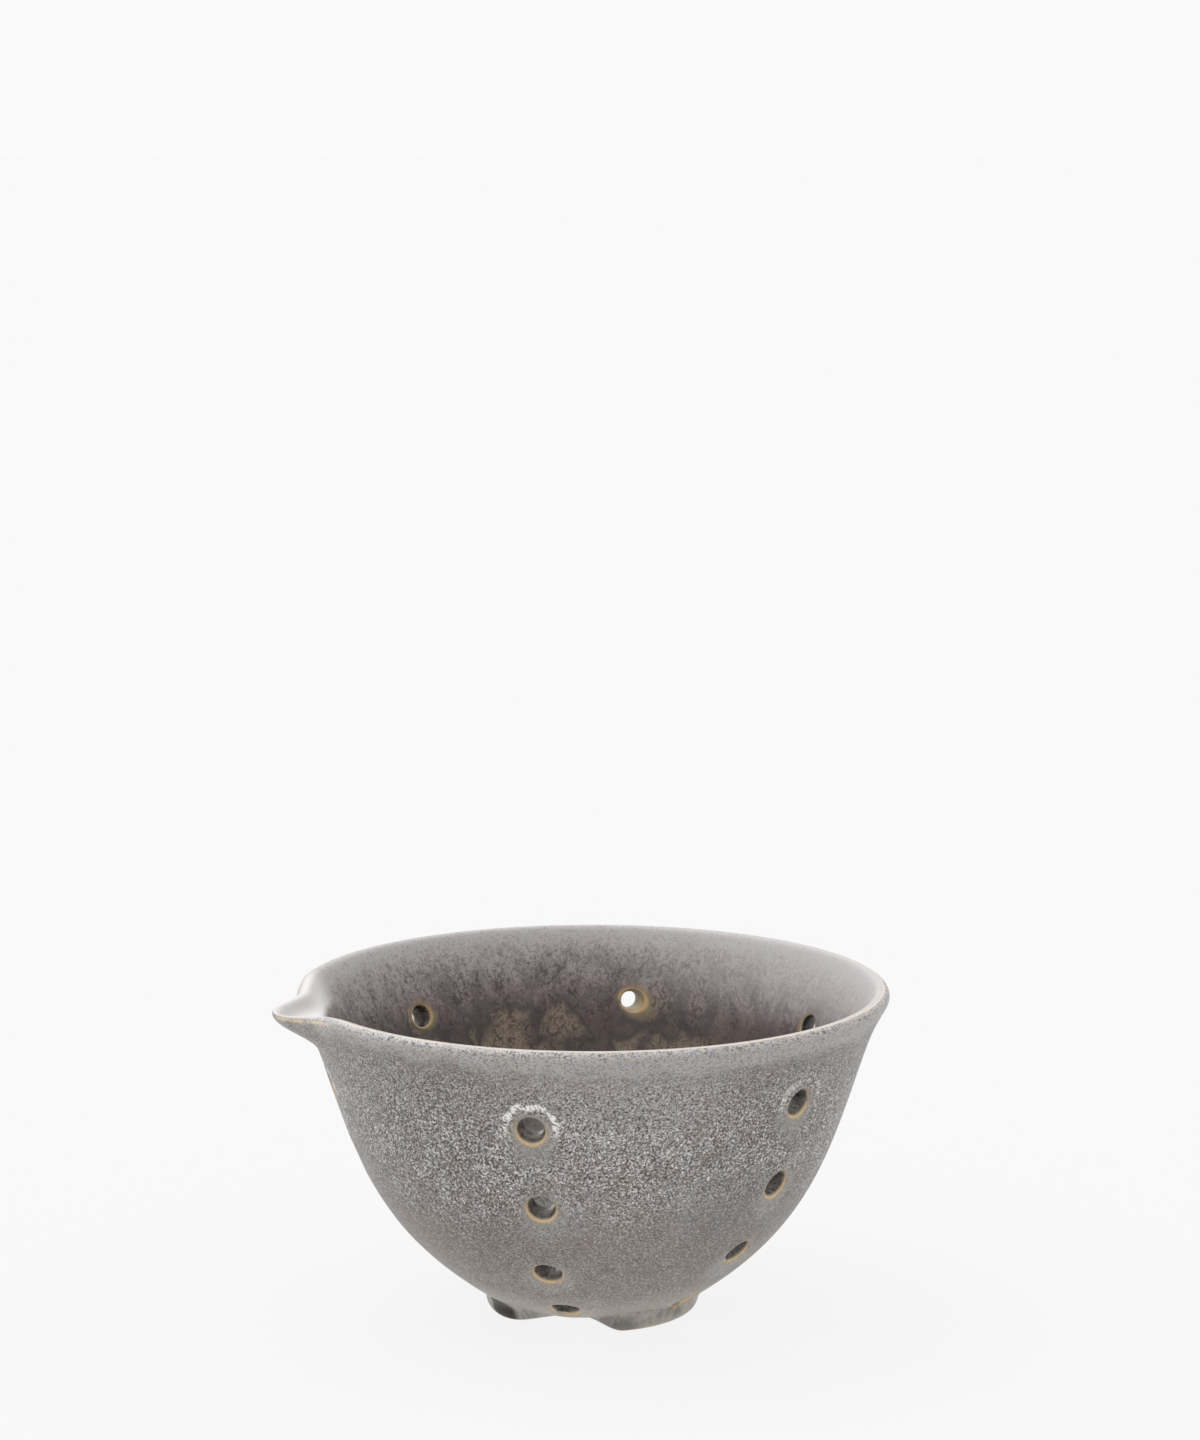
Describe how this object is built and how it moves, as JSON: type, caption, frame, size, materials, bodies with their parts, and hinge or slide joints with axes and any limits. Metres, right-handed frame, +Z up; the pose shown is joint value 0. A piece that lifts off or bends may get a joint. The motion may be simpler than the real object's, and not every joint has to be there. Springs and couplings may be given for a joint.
{
  "type": "berry bowl",
  "caption": "Small round glazed stoneware bowl with a pulled pouring spout, drain holes through its wall and floor, and short feet cut from a foot ring; rinses and drains berries.",
  "frame": {"origin": "on the table under the middle of the bounding box, spout included; the bowl's own axis stands 2.75 mm towards +X", "axes": "+Z up, the spout points towards -X, the front of the pictured view faces -Y"},
  "size_m": [0.1557, 0.15, 0.0834],
  "materials": {
    "bowl_glaze": "mottled grey semi-matt reactive glaze",
    "foot_glaze": "mottled grey semi-matt reactive glaze, bare tan clay underneath"
  },
  "bodies": {
    "root": {"bowl_body": "bowl_glaze", "foot_right": "foot_glaze", "foot_back": "foot_glaze", "foot_left": "foot_glaze"}
  },
  "joints": []
}
